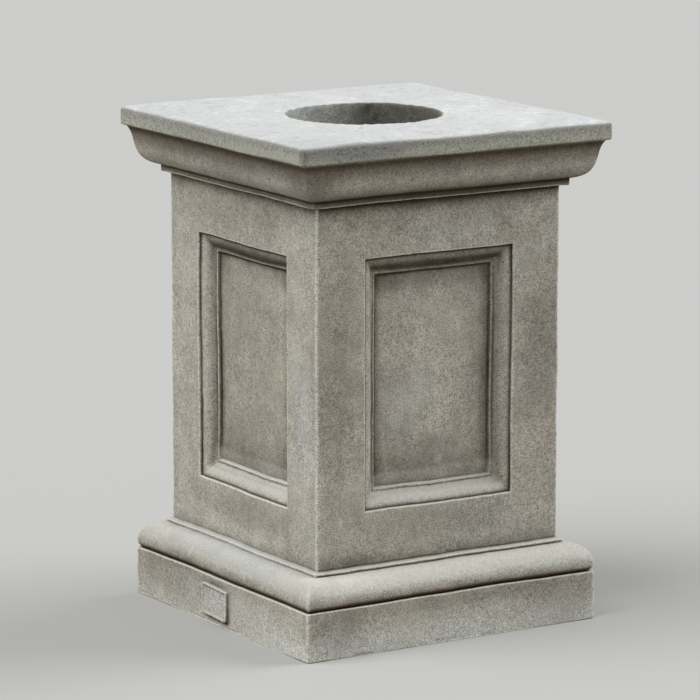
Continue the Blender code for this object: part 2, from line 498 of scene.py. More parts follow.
@dataclass
class Tablet:
    """The small raised tablet on the plinth, bare but for rows of shallow dashes."""

    plinth_half: float
    width: float = 0.060
    height: float = 0.041
    proud: float = 0.0034
    root: float = 0.004
    centre_y: float = 0.0098
    centre_z: float = 0.029
    tilt: float = math.radians(2.6)
    broken_corner: float = 0.006
    corner_ease: float = 0.0031
    side_slope: float = 0.0016
    rim_width: float = 0.0022
    rim_rise: float = 0.0009
    dash_length: float = 0.0042
    dash_thickness: float = 0.0013
    dash_depth: float = 0.0009
    dash_gap: float = 0.0026
    row_pitch: float = 0.0062
    rows: tuple[int, ...] = (5, 4, 5)
    notch_radius: float = 0.006
    notch_depth: float = 0.0012
    voxel: float = 0.00085

    def build(self) -> bpy.types.Object:
        """Model the tablet lying flat, then stand it in the plinth's side.

        Returns:
            The tablet as a closed solid, in its place.
        """
        obj = self.block()
        for row, count in enumerate(self.rows):
            for index in range(count):
                apply_boolean(obj, self.dash(row, index), "DIFFERENCE")
        apply_boolean(obj, self.notch(), "DIFFERENCE")
        self.soften(obj)
        obj.location = (-self.plinth_half, self.centre_y, self.centre_z)
        obj.rotation_euler = (math.radians(90), self.tilt, math.radians(-90))
        obj.rotation_mode = "XYZ"
        alone(obj)
        bpy.ops.object.transform_apply(location=True, rotation=True, scale=True)
        return obj

    def block(self) -> bpy.types.Object:
        """Model the block with its corners, sloped sides and raised rim.

        Returns:
            The block, its face up and its foot below the ground plane.
        """
        middle = (0.0, 0.0, (self.proud - self.root) / 2)
        obj = add_block(middle, (self.width, self.height, self.proud + self.root))
        with Bench(obj) as bench:
            bench.pick_edges(lambda a, b: abs(a.z - b.z) > self.proud and a.x < 0 and a.y < 0)
            bpy.ops.mesh.bevel(offset=self.broken_corner, segments=4, affect="EDGES")
            bench.pick_edges(lambda a, b: abs(a.z - b.z) > self.proud and not (a.x < 0 and a.y < 0))
            bpy.ops.mesh.bevel(offset=self.corner_ease, segments=3, affect="EDGES")
            bench.pick_faces(lambda face: face.normal.z > 0.9)
            narrow = 1 - 2 * self.side_slope / self.width
            low = 1 - 2 * self.side_slope / self.height
            bpy.ops.transform.resize(value=(narrow, low, 1.0))
            bpy.ops.mesh.inset(thickness=self.rim_width, depth=0.0)
            bpy.ops.mesh.inset(thickness=self.rim_rise, depth=-self.rim_rise)
        return obj

    def dash(self, row: int, index: int) -> bpy.types.Object:
        """Make the cutter of one dash.

        Args:
            row: The dash's row, counted from the top.
            index: Its place in the row, counted from the left.

        Returns:
            A small block with eased ends, set in the tablet's face.
        """
        pitch = self.dash_length + self.dash_gap
        first = -pitch * (self.rows[row] - 1) / 2
        x = first + pitch * index
        y = self.row_pitch * ((len(self.rows) - 1) / 2 - row)
        size = (self.dash_length, self.dash_thickness, 2 * self.dash_depth)
        obj = add_block((x, y, self.proud - self.rim_rise), size)
        with Bench(obj) as bench:
            bench.pick_edges(lambda a, b: abs(a.z - b.z) > self.dash_depth)
            bpy.ops.mesh.bevel(offset=self.dash_thickness * 0.4, segments=2, affect="EDGES")
        return obj

    def notch(self) -> bpy.types.Object:
        """Make the cutter of the shallow bite in the tablet's right edge.

        Returns:
            A short upright cylinder beside the edge.
        """
        x = self.width / 2 + self.notch_radius - self.notch_depth
        bpy.ops.mesh.primitive_cylinder_add(
            vertices=24, radius=self.notch_radius, depth=4 * self.proud, location=(x, 0.0, self.proud * 2)
        )
        return bpy.context.active_object

    def soften(self, obj: bpy.types.Object) -> None:
        """Give the block the blunt edges and small lumps of a cast surface.

        Args:
            obj: The block with its dashes cut.
        """
        remesh = obj.modifiers.new("grain", "REMESH")
        remesh.mode = "VOXEL"
        remesh.voxel_size = self.voxel
        alone(obj)
        bpy.ops.object.modifier_apply(modifier=remesh.name)
        smooth = obj.modifiers.new("blunt", "SMOOTH")
        smooth.factor = 0.5
        smooth.iterations = 2
        bpy.ops.object.modifier_apply(modifier=smooth.name)
        group = obj.vertex_groups.new(name=Zone.OUTSIDE.value)
        above = [v.index for v in obj.data.vertices if v.co.z > -self.root / 2]
        group.add(above, 1.0, "REPLACE")
        Roughness(Zone.OUTSIDE, 0.006, 0.0005, along_normals=True).apply(obj)


@dataclass
class Casting:
    """The pedestal itself, in one piece."""

    outline: Outline
    panel: PanelMoulding
    hollow: Hollow
    tablet: Tablet
    name: str = "cast_pedestal"
    corner_steps: int = 4
    cuts_across: int = 50
    cuts_up: int = 50
    cuts_margin: int = 9
    cuts_plinth: int = 8
    cuts_top: int = 15
    bore_steps: int = 9
    rim_steps: int = 3

    def build(self) -> bpy.types.Object:
        """Model the casting from the ground up.

        Returns:
            The finished mesh object, at the origin.
        """
        obj = self.raise_rings()
        self.sink_panels(obj)
        apply_boolean(obj, self.core(), "DIFFERENCE")
        self.divide(obj)
        self.open_top(obj)
        self.roughen(obj)
        apply_boolean(obj, self.tablet.build(), "UNION")
        alone(obj)
        bpy.ops.object.shade_smooth_by_angle(angle=math.radians(50))
        return obj

    def raise_rings(self) -> bpy.types.Object:
        """Extrude a square with eased corners up through every ring of the outline.

        Returns:
            The outside form, closed and solid.
        """
        points = self.outline.points()
        bpy.ops.mesh.primitive_plane_add(size=2 * points[0][0], location=(0.0, 0.0, 0.0))
        obj = bpy.context.active_object
        obj.name = self.name
        obj.data.name = self.name
        half = points[0][0]
        held = half - self.outline.corner_radius - self.outline.corner_hold
        flat = half - self.outline.corner_radius
        with Bench(obj) as bench:
            bpy.ops.mesh.select_all(action="SELECT")
            bpy.ops.mesh.bevel(
                offset=self.outline.corner_radius, segments=self.corner_steps, affect="VERTICES"
            )
            bench.pick_edges(lambda a, b: (a - b).length > half)
            bpy.ops.mesh.subdivide(number_cuts=2)
            widen = held / (flat / 3)
            bench.pick_verts(lambda co: abs(co.x) < half / 2)
            bpy.ops.transform.resize(value=(widen, 1.0, 1.0), center_override=(0.0, 0.0, 0.0))
            bench.pick_verts(lambda co: abs(co.y) < half / 2)
            bpy.ops.transform.resize(value=(1.0, widen, 1.0), center_override=(0.0, 0.0, 0.0))
            bpy.ops.mesh.select_mode(type="FACE")
            bpy.ops.mesh.select_all(action="SELECT")
            for (out, up), (next_out, next_up) in zip(points, points[1:]):
                lift = {"value": (0.0, 0.0, next_up - up)}
                bpy.ops.mesh.extrude_region_move(TRANSFORM_OT_translate=lift)
                ratio = next_out / out
                bpy.ops.transform.resize(value=(ratio, ratio, 1.0), center_override=(0.0, 0.0, 0.0))
            bpy.ops.mesh.select_all(action="SELECT")
            bpy.ops.mesh.normals_make_consistent(inside=False)
        return obj

    def sink_panels(self, obj: bpy.types.Object) -> None:
        """Inset the four sides of the shaft into panels and their mouldings.

        Args:
            obj: The outside form.
        """
        section = self.panel.section()
        with Bench(obj) as bench:
            sides = bench.pick_faces(lambda f: abs(f.normal.z) < 0.1 and f.calc_area() > 0.1)
            corners = [place for side in sides for place in side]
            LOG.info("shaft sides: %d", len(sides))
            foot = min(co.z for co in corners)
            top = max(co.z for co in corners)
            flat_half = min(min(abs(co.x), abs(co.y)) for co in corners)
            start_half = self.outline.dado_half - self.panel.side_margin - section[0][0]
            margin = flat_half - start_half
            bpy.ops.mesh.inset(thickness=margin, depth=0.0)
            low = self.outline.dado_foot + self.panel.foot_margin + section[0][0]
            high = self.outline.dado_top - self.panel.top_margin - section[0][0]
            middle = (foot + top) / 2
            stretch = (high - low) / (top - foot - 2 * margin)
            bpy.ops.transform.resize(value=(1.0, 1.0, stretch), center_override=(0.0, 0.0, middle))
            bpy.ops.transform.translate(value=(0.0, 0.0, (low + high) / 2 - middle))
            for (inset, depth), (next_inset, next_depth) in zip(section, section[1:]):
                bpy.ops.mesh.inset(thickness=next_inset - inset, depth=depth - next_depth)

    def core(self) -> bpy.types.Object:
        """Model the core that leaves the hollow inside.

        Returns:
            A block with rounded corners, wider at its mouth, running below the ground.
        """
        crown = self.outline.height - self.hollow.top_plate
        field_half = self.outline.dado_half - self.panel.field_depth
        mouth_half = field_half - self.hollow.wall_thickness
        depth = crown + self.hollow.overrun
        obj = add_block((0.0, 0.0, crown - depth / 2), (2 * mouth_half, 2 * mouth_half, depth))
        with Bench(obj) as bench:
            bench.pick_edges(lambda a, b: abs(a.z - b.z) > depth / 2)
            bpy.ops.mesh.bevel(offset=self.hollow.corner_radius, segments=6, affect="EDGES")
            bench.pick_faces(lambda face: face.normal.z > 0.9)
            taper = (mouth_half - self.hollow.draft) / mouth_half
            bpy.ops.transform.resize(value=(taper, taper, 1.0))
        return obj

    def divide(self, obj: bpy.types.Object) -> None:
        """Cut the long faces of the outside into cells a few millimetres wide.

        Args:
            obj: The form with its panels sunk and its hollow cut.
        """
        inner = self.outline.dado_half - self.panel.field_depth - self.hollow.wall_thickness / 2
        dado = self.outline.dado_half
        level = 1e-5

        def outside(a: Vector, b: Vector) -> bool:
            return side_reach((a + b) / 2) > inner

        def across(a: Vector, b: Vector) -> bool:
            return outside(a, b) and abs(a.z - b.z) < level and (a - b).length > 0.1

        def upright(a: Vector, b: Vector) -> bool:
            return outside(a, b) and abs(a.z - b.z) > 0.15

        def margin(a: Vector, b: Vector) -> bool:
            on_face = abs(side_reach(a) - dado) < level and abs(side_reach(b) - dado) < level
            return on_face and 0.045 < (a - b).length < 0.11

        def plinth(a: Vector, b: Vector) -> bool:
            return outside(a, b) and max(a.z, b.z) < self.outline.plinth_height and abs(a.z - b.z) > 0.04

        passes = (
            (across, self.cuts_across),
            (upright, self.cuts_up),
            (margin, self.cuts_margin),
            (plinth, self.cuts_plinth),
        )
        with Bench(obj) as bench:
            for wanted, cuts in passes:
                count = bench.pick_edges(wanted)
                LOG.info("%s edges cut in %d: %d", wanted.__name__, cuts, count)
                bpy.ops.mesh.subdivide(number_cuts=cuts, quadcorner="STRAIGHT_CUT")

    def open_top(self, obj: bpy.types.Object) -> None:
        """Turn the flat top's middle into a round hole down to the hollow.

        Args:
            obj: The divided form.
        """
        top = self.outline.height
        crown = top - self.hollow.top_plate
        rim_out = self.hollow.hole_radius + self.hollow.rim_round
        rim_centre = (rim_out, top - self.hollow.rim_round)
        rim = arc(rim_centre, self.hollow.rim_round, math.pi / 2, math.pi, self.rim_steps)
        bore_top = rim[-1][1]
        drop = (bore_top - crown) / self.bore_steps
        bore = [(self.hollow.hole_radius, bore_top - drop * step) for step in range(1, self.bore_steps + 1)]
        with Bench(obj) as bench:
            lid = bench.pick_faces(lambda f: f.normal.z > 0.9 and f.calc_center_median().z > top - 1e-4)
            LOG.info("top faces: %d, with %d corners", len(lid), max(len(face) for face in lid))
            bpy.ops.mesh.extrude_region_move(TRANSFORM_OT_translate={"value": (0.0, 0.0, 0.0)})
            bpy.ops.transform.tosphere(value=1.0)
            mesh = bmesh.from_edit_mesh(obj.data)
            chosen = [vert for vert in mesh.verts if vert.select]
            radius = sum(math.hypot(v.co.x, v.co.y) for v in chosen) / len(chosen)
            last_out, last_up = radius, top
            for out, up in rim + bore:
                if (last_out, last_up) != (radius, top):
                    lift = {"value": (0.0, 0.0, up - last_up)}
                    bpy.ops.mesh.extrude_region_move(TRANSFORM_OT_translate=lift)
                ratio = out / last_out
                bpy.ops.transform.resize(value=(ratio, ratio, 1.0), center_override=(0.0, 0.0, 0.0))
                last_out, last_up = out, up
            bpy.ops.mesh.delete(type="ONLY_FACE")
            bench.pick_faces(lambda f: f.normal.z < -0.9 and abs(f.calc_center_median().z - crown) < 1e-4)
            bpy.ops.mesh.delete(type="ONLY_FACE")
            bench.pick("EDGE", lambda edge: edge.is_boundary)
            bpy.ops.mesh.bridge_edge_loops()
            bench.pick_edges(lambda a, b: min(a.z, b.z) > top - 1e-4 and (a - b).length > 0.05)
            bpy.ops.mesh.subdivide(number_cuts=self.cuts_top, quadcorner="STRAIGHT_CUT")

    def roughen(self, obj: bpy.types.Object) -> None:
        """Make the surface uneven, zone by zone.

        Args:
            obj: The finished form.
        """
        top = self.outline.height
        rim_band = self.hollow.hole_radius + 2.5 * self.hollow.rim_round
        zones: dict[Zone, list[int]] = {zone: [] for zone in Zone}
        inner = self.outline.dado_half - self.panel.field_depth - self.hollow.wall_thickness / 2
        for vert in obj.data.vertices:
            reach = side_reach(vert.co)
            radius = math.hypot(vert.co.x, vert.co.y)
            if vert.co.z > 0.0005 and (reach > inner or vert.co.z > top - 1e-4):
                zones[Zone.OUTSIDE].append(vert.index)
            if radius < rim_band and vert.co.z > top - 2 * self.hollow.rim_round:
                zones[Zone.RIM].append(vert.index)
            if radius < rim_band and top - self.hollow.top_plate + 1e-4 < vert.co.z < top - 1e-4:
                zones[Zone.BORE].append(vert.index)
        for zone, members in zones.items():
            obj.vertex_groups.new(name=zone.value).add(members, 1.0, "REPLACE")
        for roughness in (
            Roughness(Zone.OUTSIDE, 0.120, 0.0028),
            Roughness(Zone.OUTSIDE, 0.020, 0.0009),
            Roughness(Zone.RIM, 0.006, 0.0007),
            Roughness(Zone.BORE, 0.010, 0.0018),
        ):
            roughness.apply(obj)


@dataclass(frozen=True)
class WeatheringAndShade:
    """How the masks of wear, dirt and painted light and shade are worked out from the shape."""

    shaft_half: float
    wall: float = 0.03
    sunk: float = 0.012
    rubbed_and_highlit_from: float = 130.0
    rubbed_and_highlit_full: float = 330.0
    crevice_from: float = 100.0
    crevice_full: float = 360.0
    crevice_reach: float = 0.0026
    finest: float = 0.0012
    rays: int = 40
    sky_distance: float = 0.6
    cavity_distance: float = 0.045
    ledge_distance: float = 0.090
    ledge_lift: float = 0.003
    lift: float = 0.0005
    blur_rounds: int = 3

    def apply(self, obj: bpy.types.Object) -> None:
        """Write every mask as an attribute of the mesh.

        Args:
            obj: The finished casting.
        """
        mesh = obj.data
        count = len(mesh.vertices)
        places = np.empty(count * 3)
        normals = np.empty(count * 3)
        mesh.vertices.foreach_get("co", places)
        mesh.vertices.foreach_get("normal", normals)
        places = places.reshape(-1, 3)
        normals = normals.reshape(-1, 3)
        edges = np.empty(len(mesh.edges) * 2, np.int32)
        mesh.edges.foreach_get("vertices", edges)
        edges = edges.reshape(-1, 2)
        convex, concave, lengths = self.bending(places, normals, edges)
        crevice = smoothstep(concave, self.crevice_from, self.crevice_full)
        exposure, cavity, ledge = self.openness(obj, places, normals)
        masks = {
            Mask.RUBBED_AND_HIGHLIT: smoothstep(convex, self.rubbed_and_highlit_from, self.rubbed_and_highlit_full),
            Mask.CREVICE: self.spread(crevice, edges, lengths),
            Mask.CAVITY: self.blur(cavity, edges),
            Mask.EXPOSURE: self.blur(exposure, edges),
            Mask.LEDGE: self.blur(ledge, edges),
            Mask.UPWARD: normals[:, 2],
        }
        for mask, values in masks.items():
            attribute = mesh.attributes.new(mask.value, "FLOAT", "POINT")
            attribute.data.foreach_set("value", values.astype(np.float32))
            LOG.info("mask %s: mean %.3f", mask.value, float(values.mean()))

    def bending(
        self, places: np.ndarray, normals: np.ndarray, edges: np.ndarray
    ) -> tuple[np.ndarray, np.ndarray, np.ndarray]:
        """Measure how sharply the surface bends at each vertex.

        Args:
            places: Where the vertices are.
            normals: Their normals.
            edges: The two vertices of each edge.

        Returns:
            The greatest outward bend and the greatest inward bend of each vertex, per metre, and the
            length of each edge.
        """
        along = places[edges[:, 1]] - places[edges[:, 0]]
        turned = normals[edges[:, 1]] - normals[edges[:, 0]]
        lengths = np.maximum(np.sqrt((along * along).sum(1)), 1e-6)
        bend = (along * turned).sum(1) / (lengths * np.maximum(lengths, self.finest))
        convex = np.zeros(len(places))
        concave = np.zeros(len(places))
        for end in (0, 1):
            np.maximum.at(convex, edges[:, end], bend)
            np.maximum.at(concave, edges[:, end], -bend)
        return convex, concave, lengths

    def spread(self, mask: np.ndarray, edges: np.ndarray, lengths: np.ndarray) -> np.ndarray:
        """Let dirt run out from a crevice, fading over its reach.

        Args:
            mask: The dirt in the crevices themselves.
            edges: The two vertices of each edge.
            lengths: The length of each edge.

        Returns:
            The mask, spread.
        """
        fade = lengths / self.crevice_reach
        for _ in range(6):
            grown = mask.copy()
            np.maximum.at(grown, edges[:, 0], mask[edges[:, 1]] - fade)
            np.maximum.at(grown, edges[:, 1], mask[edges[:, 0]] - fade)
            mask = grown
        return np.clip(mask, 0.0, 1.0)

    def blur(self, mask: np.ndarray, edges: np.ndarray) -> np.ndarray:
        """Average a mask a little with its neighbours.

        Args:
            mask: One value for each vertex.
            edges: The two vertices of each edge.

        Returns:
            The mask, blurred.
        """
        links = np.bincount(edges.ravel(), minlength=len(mask))
        for _ in range(self.blur_rounds):
            near = np.bincount(edges[:, 0], mask[edges[:, 1]], len(mask))
            near += np.bincount(edges[:, 1], mask[edges[:, 0]], len(mask))
            mask = 0.4 * mask + 0.6 * near / np.maximum(links, 1)
        return mask

    def directions(self, low: float) -> np.ndarray:
        """Spread directions evenly over the sphere above a height.

        Args:
            low: The lowest height on the unit sphere, -1 for all of it or 0 for the sky.

        Returns:
            One unit vector in each row.
        """
        steps = np.arange(self.rays) + 0.5
        heights = low + (1.0 - low) * steps / self.rays
        turns = steps * math.pi * (3.0 - math.sqrt(5.0))
        level = np.sqrt(1.0 - heights ** 2)
        return np.stack([level * np.cos(turns), level * np.sin(turns), heights], axis=1)

    def openness(
        self, obj: bpy.types.Object, places: np.ndarray, normals: np.ndarray
    ) -> tuple[np.ndarray, np.ndarray, np.ndarray]:
        """Measure how much sky falls on each vertex, and how closely it is walled in.

        Args:
            obj: The casting.
            places: Where the vertices are.
            normals: Their normals.

        Returns:
            The sky's light as a share of that on open level ground, the share of directions that are
            blocked close by, and in the sunk fields how near the vertex is to the sill below it.
        """
        mesh = obj.data
        corners = [vert.co.copy() for vert in mesh.vertices]
        tree = BVHTree.FromPolygons(corners, [tuple(face.vertices) for face in mesh.polygons])
        starts = [Vector(start) for start in places + normals * self.lift]
        reach = np.maximum(np.abs(places[:, 0]), np.abs(places[:, 1]))
        on_view = reach > self.shaft_half - self.wall
        on_view |= normals[:, 2] > 0.5
        seen = np.zeros(len(places))
        level = 0.0
        for ray in self.directions(0.0):
            glow = (1.0 + 2.0 * ray[2]) / 3.0
            level += glow * ray[2]
            weight = np.clip(normals @ ray, 0.0, 1.0) * glow
            aim = Vector(ray)
            for index in np.nonzero(on_view & (weight > 0.01))[0]:
                if tree.ray_cast(starts[index], aim, self.sky_distance)[0] is None:
                    seen[index] += weight[index]
        faced = np.full(len(places), 1e-6)
        blocked = np.zeros(len(places))
        for ray in self.directions(-1.0):
            weight = np.clip(normals @ ray, 0.0, 1.0)
            faced += weight
            aim = Vector(ray)
            for index in np.nonzero(on_view & (weight > 0.1))[0]:
                if tree.ray_cast(starts[index], aim, self.cavity_distance)[0] is not None:
                    blocked[index] += weight[index]
        ledge = np.zeros(len(places))
        down = Vector((0.0, 0.0, -1.0))
        in_field = on_view & (reach < self.shaft_half - self.sunk) & (np.abs(normals[:, 2]) < 0.3)
        for index in np.nonzero(in_field)[0]:
            start = Vector(places[index] + normals[index] * self.ledge_lift)
            distance = tree.ray_cast(start, down, self.ledge_distance)[3]
            if distance is not None:
                ledge[index] = 1.0 - distance / self.ledge_distance
        return seen / level, blocked / faced, ledge


def smoothstep(values: np.ndarray, low: float, high: float) -> np.ndarray:
    """Ease values from 0 at one limit to 1 at the other."""
    t = np.clip((values - low) / (high - low), 0.0, 1.0)
    return t * t * (3 - 2 * t)


def tint(red: int, green: int, blue: int) -> tuple[float, float, float, float]:
    """Turn a colour given as display values of 0 to 255 into a linear one.

    Args:
        red: Its red.
        green: Its green.
        blue: Its blue.

    Returns:
        The colour with alpha.
    """
    channels = []
    for value in (red, green, blue):
        share = value / 255
        channels.append(share / 12.92 if share <= 0.04045 else ((share + 0.055) / 1.055) ** 2.4)
    return (*channels, 1.0)


class NodeSheet:
    """The node tree of one material, with a short call for each kind of node."""

    def __init__(self, material: bpy.types.Material) -> None:
        """Start from the material's own shader."""
        material.use_nodes = True
        self.tree = material.node_tree
        self.shader = self.tree.nodes["Principled BSDF"]

    def add(self, kind: str, inputs: dict, **settings: object) -> bpy.types.Node:
        """Add a node.

        Args:
            kind: Blender's name of the node's type.
            inputs: A value or another node's output for each input, by name or number.
            settings: The node's own settings.

        Returns:
            The node.
        """
        node = self.tree.nodes.new(kind)
        for name, value in settings.items():
            setattr(node, name, value)
        for name, value in inputs.items():
            if isinstance(value, bpy.types.NodeSocket):
                self.tree.links.new(value, node.inputs[name])
            else:
                node.inputs[name].default_value = value
        return node

    def math(self, operation: str, first: object, second: object = 0.0) -> bpy.types.NodeSocket:
        """Combine two numbers."""
        node = self.add("ShaderNodeMath", {0: first, 1: second}, operation=operation)
        return node.outputs[0]

    def noise(
        self, place: bpy.types.NodeSocket, grain: float, detail: float = 3.0, rough: float = 0.5
    ) -> bpy.types.NodeSocket:
        """Give cloud noise whose features are about one grain across, in metres."""
        inputs = {"Vector": place, "Scale": 1.0 / grain, "Detail": detail, "Roughness": rough}
        return self.add("ShaderNodeTexNoise", inputs, noise_dimensions="3D").outputs[0]

    def band(self, value: object, low: float, high: float) -> bpy.types.NodeSocket:
        """Ease a number from 0 at one limit to 1 at the other, either way round."""
        inputs = {"Value": value, "From Min": low, "From Max": high}
        return self.add("ShaderNodeMapRange", inputs, interpolation_type="SMOOTHSTEP").outputs[0]

    def between(self, share: object, low: float, high: float) -> bpy.types.NodeSocket:
        """Turn a share of 0 to 1 into a number between two limits."""
        inputs = {"Value": share, "To Min": low, "To Max": high}
        return self.add("ShaderNodeMapRange", inputs).outputs[0]

    def product(self, *factors: object) -> bpy.types.NodeSocket:
        """Multiply numbers together."""
        return functools.reduce(functools.partial(self.math, "MULTIPLY"), factors)

    def inverse(self, share: object) -> bpy.types.NodeSocket:
        """Give what a share leaves of the whole."""
        return self.math("SUBTRACT", 1.0, share)

    def window(self, value: object, rise: Point, fall: Point) -> bpy.types.NodeSocket:
        """Ease a number up from 0 to 1 over the first pair of limits, and down over the second."""
        return self.product(self.band(value, *rise), self.band(value, fall[1], fall[0]))

    def blend(self, share: object, under: object, over: object) -> bpy.types.NodeSocket:
        """Lay one colour over another."""
        node = self.add("ShaderNodeMix", {0: share, 6: under, 7: over}, data_type="RGBA")
        return node.outputs[2]

    def scale(self, colour: bpy.types.NodeSocket, factor: bpy.types.NodeSocket) -> bpy.types.NodeSocket:
        """Make a colour lighter or darker by a factor."""
        node = self.add("ShaderNodeVectorMath", {0: colour, "Scale": factor}, operation="SCALE")
        return node.outputs[0]

    def mask(self, mask: Mask) -> bpy.types.NodeSocket:
        """Read one of the mesh's masks."""
        return self.add("ShaderNodeAttribute", {}, attribute_name=mask.value).outputs["Fac"]


class Coat(NodeSheet):
    """The stone's colour as its layers build up, with the places and masks that they go by."""

    def __init__(self, material: bpy.types.Material, outline: Outline, sill: float) -> None:
        """Read where each point is on the casting, what it has been through and how much sky reaches it.

        Args:
            material: The material that is coated.
            outline: The casting's outline.
            sill: Height of the panels' lower outer arris.
        """
        super().__init__(material)
        self.place = self.add("ShaderNodeTexCoord", {}).outputs["Object"]
        axes = self.add("ShaderNodeSeparateXYZ", {0: self.place}).outputs
        self.x, self.y, self.height = axes["X"], axes["Y"], axes["Z"]
        self.clouds = self.noise(self.place, 0.050, 4.0, 0.55)
        self.worn = self.noise(self.place, 0.011, 4.0, 0.6)
        self.exposure = self.mask(Mask.EXPOSURE)
        self.cavity = self.mask(Mask.CAVITY)
        self.upward = self.mask(Mask.UPWARD)
        # which side of the front and back corners, 1 on -Y and +X, and how far from the middle
        self.across = self.math("SUBTRACT", self.x, self.y)
        self.side = self.band(self.across, -0.004, 0.004)
        apart = [self.math("ABSOLUTE", axis) for axis in (self.x, self.y)]
        self.depth = self.math("SUBTRACT", outline.dado_half, self.math("MAXIMUM", *apart))
        self.least = self.math("MINIMUM", *apart)
        flat = self.add("ShaderNodeMapping", {"Vector": self.place, "Scale": (1.0, 1.0, 0.0)})
        radius = self.add("ShaderNodeVectorMath", {0: flat.outputs[0]}, operation="LENGTH").outputs[1]
        self.outside = self.band(radius, 0.0955, 0.0975)
        # parts of the casting
        slab_foot = outline.slab_foot
        cyma_foot = slab_foot - outline.cyma_height
        foot, head = outline.dado_foot, outline.dado_top
        self.on_slab = self.band(self.height, slab_foot - 0.003, slab_foot + 0.002)
        self.on_cyma = self.band(self.height, cyma_foot - 0.001, cyma_foot + 0.001)
        self.over_shaft = self.band(self.height, head - 0.001, head + 0.001)
        self.in_shaft = self.window(self.height, (foot, foot + 0.004), (head - 0.004, head))
        self.in_field = self.window(self.depth, (0.0170, 0.0188), (0.0218, 0.0230))
        self.in_field = self.product(self.in_field, self.in_shaft)
        self.bead = self.product(self.window(self.depth, (0.0110, 0.0140), (0.0200, 0.0215)), self.in_shaft)
        self.low = self.band(self.height, sill + 0.034, sill + 0.027)
        self.top_face = self.product(self.band(self.upward, 0.40, 0.80), self.on_slab)
        # upward faces below the slab, whose pale is partly painted light; weaker on the -X side as painted
        # shade
        ledges = self.product(self.band(self.upward, -0.15, 0.45), self.inverse(self.on_slab))
        self.ledges = self.product(ledges, self.between(self.band(self.x, -0.145, -0.16), 0.9, 0.65))
        self.colour = None

    def lay(self, tone: object, *shares: object) -> None:
        """Lay a colour over the coat, as much as the product of its shares says."""
        self.colour = self.blend(self.product(*shares), self.colour, tone)

    def drawn_out(self, stretch: float, grain: float, detail: float) -> bpy.types.NodeSocket:
        """Give noise drawn out into upright streaks."""
        drawn = self.add("ShaderNodeMapping", {"Vector": self.place, "Scale": (1.0, 1.0, stretch)})
        return self.noise(drawn.outputs[0], grain, detail, 0.6)

    def spot(self, centre: Triple, reach: Triple) -> bpy.types.NodeSocket:
        """Give a mask of one soft ragged spot.

        Args:
            centre: Its middle, where the mask is 1.
            reach: How far it goes along each axis before the mask is 0.

        Returns:
            The mask.
        """
        scale = tuple(1.0 / size for size in reach)
        shift = tuple(-middle / size for middle, size in zip(centre, reach))
        moved = self.add("ShaderNodeMapping", {"Vector": self.place, "Location": shift, "Scale": scale})
        far = self.add("ShaderNodeVectorMath", {0: moved.outputs[0]}, operation="LENGTH").outputs[1]
        return self.band(self.math("ADD", far, self.between(self.clouds, -0.6, 0.6)), 1.0, 0.2)


@dataclass(frozen=True)
class Blot:
    """One soft spot at its place on the stone; most are dirt and wear, some painted light and shade."""

    centre: Triple
    reach: Triple
    strength: float
    colour: tuple


